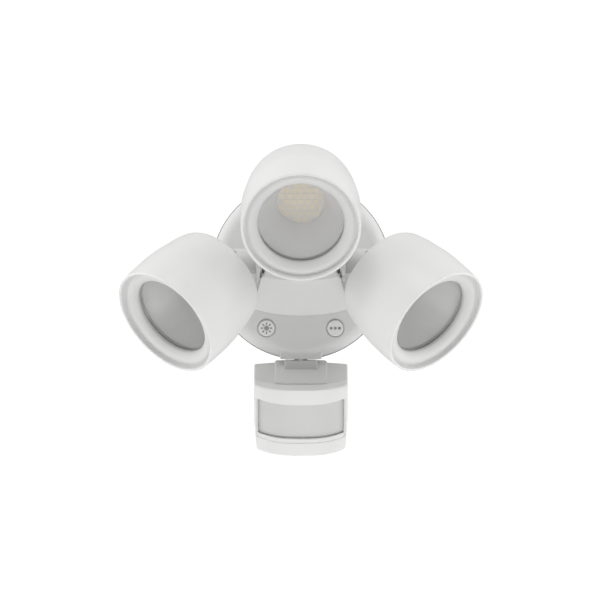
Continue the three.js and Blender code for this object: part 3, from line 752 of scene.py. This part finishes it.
def build_housing(matrix):
    smooth_side = spline(HOUSING_OUTSIDE[1:11], 3)
    outside = [HOUSING_OUTSIDE[0], *smooth_side, *HOUSING_OUTSIDE[11:]]
    profile = lamp_line([*outside, (23.6, 67.3), (0, 67.3), *HOUSING_INSIDE])
    cup = lathe("cup", profile, segments=144)
    eye = rod("eye", (-TONGUE_HALF, 0, 0), (TONGUE_HALF, 0, 0), KNUCKLE_R, 64)
    web = box("web", -TONGUE_HALF, TONGUE_HALF, 0, LIP - 65, -KNUCKLE_R, KNUCKLE_R)
    foot = loft("foot", [
        [(-TONGUE_HALF, y, -half), (TONGUE_HALF, y, -half), (TONGUE_HALF, y, half), (-TONGUE_HALF, y, half)]
        for y, half in ((9.7, KNUCKLE_R), (12.0, 9.4), (15, 11))])
    join(cup, web, eye, foot)
    cut(cup, rod("pin_hole", (-12, 0, 0), (12, 0, 0), PIN_R + 0.2))
    cup.data.transform(matrix)
    return cup


# RIM is a thin ring on each lamp's lip, given the brighter white as a painted highlight on the lip.
RIM = [(43.1, 1.1), (42.5, 0.75), (42.6, 0.3), (42.95, -0.04), (43.5, -0.18), (44.05, 0.0), (44.42, 0.4),
       (44.1, 1.1)]
BEZEL = [(42.66, 3.3), (42.55, 3.75), (42.2, 4.15), (41.6, 4.3), (40.8, 4.1), (39.8, 3.7), (38.6, 3.45),
         (37.4, 3.55), (36.2, 3.9), (35.0, 4.5), (33.8, 5.4), (32.8, 6.5), (32.3, 7.3), (32.2, 7.8),
         (32.2, 9.45), (36, 9.45), (36, 13.7), (42.4, 13.7)]


def polygon(x, z, radius, y, count=12):
    """Regular loop about (x, z), half a step round from the X axis."""
    turns = [2 * math.pi * (k + 0.5) / count for k in range(count)]
    return [(x + radius * math.cos(a), y, z + radius * math.sin(a)) for a in turns]


def stack(verts, faces, loops):
    """Adds one closed solid, skinned over loops from its foot to its top."""
    base, n = len(verts), len(loops[0])
    for level, loop in enumerate(loops):
        verts += loop
        if level:
            a, b = base + (level - 1) * n, base + level * n
            faces += [(a + k, a + (k + 1) % n, b + (k + 1) % n, b + k) for k in range(n)]
    faces += [tuple(range(base, base + n)), tuple(range(len(verts) - n, len(verts)))]


def build_led(side, body, matrix, m):
    """Round board with rows of square packages, each with a yellow phosphor pad."""
    board = disc("led_disc", BOARD_FRONT, 45.4, 20, 0.2, matrix, 72)
    place(board, body, m["led"], "led", f"led_board_{side}", name=f"led_disc_{side}")
    pitch, front, half, top = 5.5, LIP - BOARD_FRONT, 2.1, 0.55
    spots = [((i + 0.5 * (j % 2)) * pitch, j * pitch * 0.87) for i in range(-3, 4) for j in range(-3, 4)]
    packages, pads = ([], []), ([], [])
    for x, z in spots:
        if math.hypot(x, z) > 15.4:
            continue
        ring = rounded([(x - half, z - half, 0.35), (x + half, z - half, 0.35),
                        (x + half, z + half, 0.35), (x - half, z + half, 0.35)], steps=2)
        steps = ((0, 1), (top - 0.12, 1), (top, 0.93), (top, 0.78), (top - 0.1, 0.74))
        stack(*packages, [[(x + (a - x) * scale, front + rise, z + (b - z) * scale) for a, b in ring]
                          for rise, scale in steps])
        stack(*pads, [polygon(x, z, 1.62, front + 0.46), polygon(x, z, 1.2, front + 0.58)])
    place(new_object("packages", *packages, matrix), body, m["chip_frame"], "led",
          name=f"led_packages_{side}")
    place(new_object("phosphor", *pads, matrix), body, m["chip"], "led", name=f"led_phosphor_{side}")


def build_lamp(side, body, matrix, m):
    place(build_housing(matrix), body, m["head"], "white_shell", f"lamp_housing_{side}",
          name=f"lamp_shell_{side}")
    # The lip ring in the brighter white: painted highlight on the lip's edge.
    rim = lathe("rim", lamp_line(RIM), matrix, 144)
    place(rim, body, m["painted_lip_highlight"], "white_shell", name=f"lamp_rim_{side}")
    bezel = lathe("bezel", lamp_line(BEZEL), matrix, 144)
    place(bezel, body, m["shell"], "white_shell", f"bezel_{side}", name=f"bezel_ring_{side}")
    lens = disc("lens", GLASS_FRONT, GLASS_BACK, GLASS_R, 0.3, matrix, 96)
    place(lens, body, m["glass"], "lamp_glass", f"lamp_lens_{side}", name=f"lens_pane_{side}")
    seal_front, seal_back = GLASS_BACK + GAP, GLASS_BACK + 1.5
    line = [(33, seal_front, 0.3), (GLASS_R, seal_front, 0.3), (GLASS_R, seal_back, 0.3),
            (33, seal_back, 0.3)]
    seal = lathe("seal", lamp_line(rounded(line)), matrix, 72)
    place(seal, body, m["silicone"], "rubber", f"lens_seal_{side}", name=f"pane_seal_{side}")
    cone = spline([(33.3, 15.6), (29.6, 22), (25.4, 30), (21.9, 37), (19.4, 43.4)], 3)
    inner = [(r - 1.6, t) for r, t in reversed(cone)]
    reflector = lathe("reflector", lamp_line([(31.8, 14.4), (40.1, 14.4), (40.1, 15.6), *cone,
                                              (17.7, 43.4), *inner[1:-1]]), matrix, 96)
    place(reflector, body, m["reflector"], "reflector", f"reflector_{side}",
          name=f"reflector_cone_{side}")
    build_led(side, body, matrix, m)
    line = [(0, SINK_FRONT), (22, SINK_FRONT, 0.4), (22, 49, 0.6), (14, 49, 1.0), (14, 62, 0.6), (0, 62)]
    sink = lathe("sink", lamp_line(rounded(line, closed=False)), matrix, 72)
    fins, slot_half = 10, 1.1
    slots = [box("slot", 7, 16, LIP - 63, LIP - 50.5, -slot_half, slot_half, matrix=turned)
             for turned in around(fins, matrix)]
    place(cut(sink, *slots), body, m["alu"], "heat_sink", f"heat_sink_{side}",
          name=f"heat_spreader_{side}")
    line = [(0, -9.8), (0.9, -9.72), (1.7, -9.45), (PIN_R, -8.9), (PIN_R, 9.5), (4.2, 9.5, 0.2),
            (4.0, 10.6, 0.5), (3.2, 11.5, 0.4), (0, 11.6)]
    sideways = matrix @ Matrix.Rotation(math.radians(-90), 4, "Z")
    pin = lathe("pin", rounded(line, closed=False), sideways, 40)
    head = matrix @ Matrix.Translation((11.7 * MM, 0, 0)) @ Matrix.Rotation(math.radians(90), 4, "Z")
    place(cross_recess(pin, head), f"{side}_neck", m["steel"], "steel", f"tilt_pin_{side}",
          name=f"pivot_pin_{side}")


def forked(arm, matrix, name):
    """Cuts the fork at a neck's end; matrix has its origin on the tilt axis and +Y out of the neck."""
    wide, reach = TONGUE_HALF + GAP, KNUCKLE_R + 1
    tip = box("tip", -20, 20, 0, 30, -30, 30, matrix=matrix)
    cut(tip, rod("keep", (-21, 0, 0), (21, 0, 0), KNUCKLE_R, 64, matrix))
    slot = box("slot", -wide, wide, -reach, 30, -20, 20, matrix=matrix)
    cut(arm, slot, tip, rod("pin_hole", (-30, 0, 0), (30, 0, 0), PIN_R + 0.2, 48, matrix))
    arm.name = name
    return arm


def gooseneck():
    """Top neck in part coordinates: straight up, a quarter bend, then forward to its fork."""
    bend, low, high, steps, sides = 13.0, 14.0, TOP_PIVOT.z, 16, 64
    out = TOP_ARM_Y - TOP_PIVOT.y - bend + KNUCKLE_R
    line = [((TOP_ARM_Y, low), (0, 1)), ((TOP_ARM_Y, high - bend), (0, 1))]
    for k in range(1, steps + 1):
        a = math.pi / 2 * k / steps
        centre = (TOP_ARM_Y - bend * (1 - math.cos(a)), high - bend + bend * math.sin(a))
        line.append((centre, (-math.sin(a), math.cos(a))))
    line.append(((TOP_ARM_Y - bend - out, high), (-1, 0)))
    loops = []
    for (y, z), (ty, tz) in line:
        loop = []
        for k in range(sides):
            a = 2 * math.pi * k / sides
            u, v = ARM_R * math.cos(a), ARM_R * math.sin(a)
            loop.append((u, y - v * tz, z + v * ty))
        loops.append(loop)
    return loft("neck", loops)


def ahead_and_down(degrees):
    """Unit vector away from the wall, turned down by an angle."""
    down = math.radians(degrees)
    return Vector((0, -math.cos(down), -math.sin(down)))


def build_heads(m):
    ahead, lean = ahead_and_down(SIDE_DOWN), math.radians(SIDE_LEAN)
    tilt_axis = X_AXIS.cross(ahead)
    root = -SIDE_PIVOT.x
    for side, s in SIDES:
        pivot = Vector((s * SIDE_PIVOT.x, SIDE_PIVOT.y, SIDE_PIVOT.z))
        outward = Vector((s, 0, 0))
        pointing = ahead * math.cos(lean) + outward * math.sin(lean)
        build_lamp(side, f"{side}_lamp", basis(tilt_axis, pointing, pivot), m)
        matrix = basis(tilt_axis, outward, pivot)
        line = [(0, root + 18.5), (FLANGE_R, root + 18.5, 0.3), (FLANGE_R, root + 21, 0.3),
                (ARM_R, root + 21, 0.4), (ARM_R, KNUCKLE_R), (0, KNUCKLE_R)]
        arm = lathe("neck", rounded(line, closed=False), matrix, 72)
        place(forked(arm, matrix, f"neck_arm_{side}"), f"{side}_neck", m["trim"], "white_trim",
              f"neck_{side}")
    build_lamp("top", "top_lamp", basis(X_AXIS, ahead_and_down(TOP_DOWN), TOP_PIVOT), m)
    neck = join(gooseneck(), rod("flange", (0, TOP_ARM_Y, 11), (0, TOP_ARM_Y, 15.5), FLANGE_R, 64))
    place(forked(neck, basis(X_AXIS, -Y_AXIS, TOP_PIVOT), "neck_arm_top"), "top_neck", m["trim"],
          "white_trim", "neck_top")


# ---- buttons ----
def build_buttons(m):
    proud = 1.3
    face = CANOPY_FACE + proud
    for side, s in SIDES:
        matrix = shifted(s * BUTTON_X, BUTTON_Z)
        line = [(0, -face + 0.12), (4.7, -face + 0.12), (5.0, -face, 0.1), (BUTTON_R - 0.7, -face, 0.5),
                (BUTTON_R, -face + 0.9, 0.5), (BUTTON_R, -20.9), (7.6, -20.9, 0.2), (7.6, -19.8, 0.2),
                (2.2, -19.8), (2.2, -17.6), (0, -17.6)]
        cap = lathe("cap", rounded(line, closed=False, steps=3), matrix, 72)
        place(cap, f"{side}_button", m["cover"], "white_trim", f"button_{side}",
              name=f"button_cap_{side}")
        top, low = -face + 0.02, -face + 0.3

        def dot(radius, spot, segments):
            return lathe("dot", [(0, top), (radius, top), (radius, low), (0, low)], spot, segments)

        if side == "left":
            parts = [dot(1.8, matrix, 32)]
            parts += [box("ray", 2.4, 4.3, top, low, -0.5, 0.5, corner=0.3, matrix=turned)
                      for turned in around(8, matrix)]
        else:
            parts = [dot(1.15, matrix @ shifted(3.1 * k, 0), 28) for k in (-1, 0, 1)]
        place(joined(parts), f"{side}_button", m["print"], "white_trim", name=f"button_mark_{side}")


# ---- motion sensor ----
RUN_COUNTS = (29, 13, 29, 13)


def front_curve(x):
    """How far the sensor's bowed front lies ahead of its pivot at x."""
    return SENSOR_FRONT - SENSOR_BULGE * (abs(x) / SENSOR_SPAN) ** 3


def window_rise(x):
    """How much the window's edges curve up at x."""
    return WINDOW_SAG * (abs(x) / WINDOW_HALF) ** 2.4


def side_runs(runs, radius):
    """Closed outline of four runs of points whose ends are trimmed and joined by smooth corners."""
    made, trimmed, arc = [], [], 4
    for run, count in zip(runs, RUN_COUNTS):
        length = [0]
        for a, b in zip(run, run[1:]):
            length.append(length[-1] + math.dist(a, b))
        total = length[-1]
        points = []
        for k in range(count):
            want = radius + (total - 2 * radius) * k / (count - 1)
            j = max(i for i in range(len(run) - 1) if length[i] <= want + 1e-9)
            t = (want - length[j]) / (length[j + 1] - length[j])
            points.append((run[j][0] + (run[j + 1][0] - run[j][0]) * t,
                           run[j][1] + (run[j + 1][1] - run[j][1]) * t))
        trimmed.append(points)
    for i, points in enumerate(trimmed):
        made += points
        corner = runs[i][-1]
        after = trimmed[(i + 1) % 4][0]
        for k in range(1, arc):
            t = k / arc
            a, b, c = (1 - t) ** 2, 2 * t * (1 - t), t * t
            made.append((a * points[-1][0] + b * corner[0] + c * after[0],
                         a * points[-1][1] + b * corner[1] + c * after[1]))
    return made


def face_outline(inset=0.0):
    """Outline of the sensor seen face on, as (across, up) points."""
    h, top = SENSOR_HALF - inset, SENSOR_TOP - inset
    low = [(0, SENSOR_BOTTOM), (15, -52.3), (27, -51.5), (33.3, -50.5)]
    low = [(x * (h / SENSOR_HALF), w + inset) for x, w in low]
    corner = low[-1]
    upper = [(h * (1 - 2 * k / 20), top) for k in range(21)]
    left = spline([(-h, top), (-h, -26), (-(h - 0.8), -38), (-corner[0], corner[1])], 6)
    bottom = spline(mirrored(low) + low[1:], 6)
    return side_runs([upper, left, bottom, mirrored(left)], 1.6)


def window_outline(side_grow=0.0, up_grow=0.0, down_grow=0.0, radius=1.0):
    half = WINDOW_HALF + side_grow
    xs = [half * (1 - 2 * k / 28) for k in range(29)]
    upper = [(x, WINDOW_TOP + up_grow + window_rise(x)) for x in xs]
    bottom = [(-x, WINDOW_BOTTOM - down_grow + window_rise(x)) for x in xs]
    left = [upper[-1], bottom[0]]
    right = [bottom[-1], upper[0]]
    return side_runs([upper, left, bottom, right], radius)


def sensor_cap(matrix):
    """Front cover: a hollow cap with a curved face and a framed window."""
    def on_face(points, behind):
        return [(x, front_curve(x) - behind, w) for x, w in points]

    radius, steps = 0.8, 4
    outer = face_outline()
    centre, half_height = (SENSOR_TOP + SENSOR_BOTTOM) / 2, (SENSOR_TOP - SENSOR_BOTTOM) / 2

    def shrink(points, by):
        return [(x * (1 - by / SENSOR_HALF), centre + (w - centre) * (1 - by / half_height))
                for x, w in points]

    def edge(points, behind):
        """Wall loop; its depth follows the outer outline, so that the skirt's edge stays even."""
        return [(x, front_curve(o[0]) - behind, w) for (x, w), o in zip(points, outer)]

    loops = [edge(shrink(outer, 0.08), SENSOR_SKIRT), edge(outer, SENSOR_SKIRT - 0.1)]
    for k in range(steps + 1):
        a = math.pi / 2 * k / steps
        loops.append(edge(shrink(outer, radius * (1 - math.cos(a))), radius * (1 - math.sin(a))))
    loops.append(on_face(shrink(outer, radius * 1.15), 0))
    loops.append(on_face(window_outline(1.35, 0.85, 3.9, 1.8), 0))
    loops.append(on_face(window_outline(1.0, 0.55, 3.4, 1.6), 0.2))
    loops.append(on_face(window_outline(0.85, 0.5, 3.1, 1.6), 0.8))
    loops.append(on_face(window_outline(0.45, 0.35, 0.6, 1.1), 0.75))
    loops.append(on_face(window_outline(0.12, 0.12, 0.2), 0.95))
    loops.append(on_face(window_outline(), 1.3))
    loops.append(on_face(window_outline(), SENSOR_WALL))
    inner = shrink(outer, SENSOR_WALL)
    loops.append(on_face(shrink(outer, SENSOR_WALL + 0.6), SENSOR_WALL))
    loops.append(edge(inner, SENSOR_WALL + 0.9))
    loops.append(edge(inner, SENSOR_SKIRT))
    return loft("cap", loops, matrix, ring=True)


def sensor_pane(matrix):
    """Milky lens: a thin curved sheet a little behind the cap's wall."""
    half, columns, rows, edge = 32.6, 48, 8, 0.9
    front, back = SENSOR_WALL + 1.3, SENSOR_WALL + 2.3
    loops = []
    for i in range(columns + 1):
        x = half * (1 - 2 * i / columns)
        top, low = WINDOW_TOP + edge + window_rise(x), WINDOW_BOTTOM - edge + window_rise(x)
        heights = [top + (low - top) * j / rows for j in range(rows + 1)]
        loops.append([(x, front_curve(x) - front, w) for w in heights]
                     + [(x, front_curve(x) - back, w) for w in reversed(heights)])
    return loft("pane", loops, matrix)


def sensor_solid(inset):
    """Whole outer (inset 0) or inner form of the sensor, in its own frame."""
    half, b = SENSOR_HALF - inset, SENSOR_BACK + inset
    cut_off = 1.2 if inset == 0 else 0.1
    xs = [(half - cut_off) * (1 - 2 * k / 28) for k in range(29)]
    line = [(x, front_curve(x) - inset) for x in xs]
    corner = front_curve(half - cut_off) - inset - cut_off
    plan = [(half, corner), *line, (-half, corner), (-half, b + 1.7, 1.2), (-PAD_HALF, b - 0.6, 2),
            (PAD_HALF, b - 0.6, 2), (half, b + 1.7, 1.2)]
    body = prism("body", rounded(plan), -58, 8, "z")
    face = prism("face", face_outline(inset), -40, 80)
    wall = prism("wall", [(-9, SENSOR_REAR - inset), (-38, SENSOR_REAR - 3.7 - inset), (-38, -90),
                          (38, -90), (38, SENSOR_REAR - 3.7 - inset), (9, SENSOR_REAR - inset)],
                 -120, 120, "z")
    wall.data.transform(Matrix.Rotation(math.radians(SENSOR_DOWN), 4, "X") @ Matrix.Scale(-1, 4, Y_AXIS))
    wall.data.flip_normals()
    return meet(body, face, wall)


def band(back):
    """Cutter for all that is ahead of the front's curve set back by back."""
    xs = [38 * (1 - 2 * k / 32) for k in range(33)]
    line = [(x, front_curve(x) - back) for x in xs]
    return prism("band", [*line, (-38, 60), (38, 60)], -70, 20, "z")


def slope_pad(pad):
    """Lowers the pad's top towards its front end."""
    rise, front_rise, slope_start, slope_length = PAD_TOP - SENSOR_TOP, 1.3, -3, 29.2
    for v in pad.data.vertices:
        along, up = v.co.y / MM, v.co.z / MM
        if up > SENSOR_TOP:
            fall = min(1.0, max(0.0, (along - slope_start) / slope_length))
            share = (up - SENSOR_TOP) / rise
            v.co.z = (SENSOR_TOP + share * (rise - fall * (rise - front_rise))) * MM


def build_sensor(m):
    matrix = basis(-X_AXIS, ahead_and_down(SENSOR_DOWN), SENSOR_PIVOT)
    place(sensor_cap(matrix), "sensor_head", m["cover"], "white_shell", "sensor_front",
          name="sensor_cover")
    place(sensor_pane(matrix), "sensor_head", m["film"], "pir_film", "sensor_lens",
          name="sensor_window")

    pad_line = rounded([(PAD_HALF, 24.6, 2.2), (17.0, 26.2, 1.0), (-17.0, 26.2, 1.0),
                        (-PAD_HALF, 24.6, 2.2), (-PAD_HALF, SENSOR_BACK + 1, 1),
                        (-17.9, SENSOR_BACK - 0.4, 1), (17.9, SENSOR_BACK - 0.4, 1),
                        (PAD_HALF, SENSOR_BACK + 1, 1)])
    housing = sensor_solid(0)
    core = sensor_solid(SENSOR_WALL)
    cut(core, box("knuckle_room", -22, 22, -20, 8.4, -9, 20))
    cut(housing, core)
    pad = prism("pad", pad_line, SENSOR_TOP - 4, PAD_TOP, "z", bevel=0.9)
    slope_pad(pad)
    cut(pad, box("pad_low", -30, 30, -30, 40, -10, SENSOR_TOP - 1))
    join(housing, pad)
    slot_half = NECK_HALF + 0.1
    pocket = [
        band(SENSOR_SKIRT + 0.05),
        box("pocket", -slot_half, slot_half, -20, POCKET_R, 0, 20),
        box("pocket", -slot_half, slot_half, -20, 0, -5.5, 20),
        rod("pocket", (-slot_half, 0, 0), (slot_half, 0, 0), POCKET_R, 64),
        rod("pin_bore", (-17.6, 0, 0), (17.6, 0, 0), SENSOR_BORE_R),
    ]
    cut(housing, *pocket)
    housing.data.transform(matrix)
    place(housing, "sensor_head", m["shell"], "white_shell", "sensor_housing", name="sensor_case")

    line = [(0, -68), (SHANK_R, -68), (SHANK_R, -63.2), (SHANK_R + 0.9, -63.2, 0.2), (SHANK_R, -60),
            (0, -60)]
    upright = basis(X_AXIS, Z_AXIS, Vector((0, SENSOR_PIVOT.y, 0)))
    neck = lathe("shank", rounded(line, closed=False), upright, 48)
    y, z = SENSOR_PIVOT.y, SENSOR_PIVOT.z
    stem = box("stem", -NECK_HALF, NECK_HALF, y - 4.2, y + 4.2, z, -67.25, radius=0.25)
    knuckle = rod("knuckle", (-NECK_HALF, y, z), (NECK_HALF, y, z), 5, 64)
    join(neck, stem, knuckle)
    cut(neck, rod("bore", (-20, y, z), (20, y, z), SENSOR_BORE_R))
    place(neck, "sensor_swivel", m["shell"], "white_trim", "sensor_neck", name="sensor_stem")


def dress_hidden(m):
    """Plain hidden solids whose shape is right keep their mesh and get a finished material."""
    for name, key in (("sensor_board", "board"), ("pyro_sensor", "steel"), ("sensor_pin", "steel")):
        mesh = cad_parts[name].data
        mesh.materials.clear()
        mesh.materials.append(m[key])


def build_floor(m):
    """Pale floor far below, so that it stays out of the camera's view."""
    half, top, thick = 2500, -2200, 12
    floor = box("floor", -half, half, -half, half, top - thick, top, radius=2.0)
    floor.data.materials.append(m["floor"])


make_stage()
looks = make_materials()
build_base(looks)
build_hub(looks)
build_heads(looks)
build_buttons(looks)
build_sensor(looks)
dress_hidden(looks)
build_floor(looks)
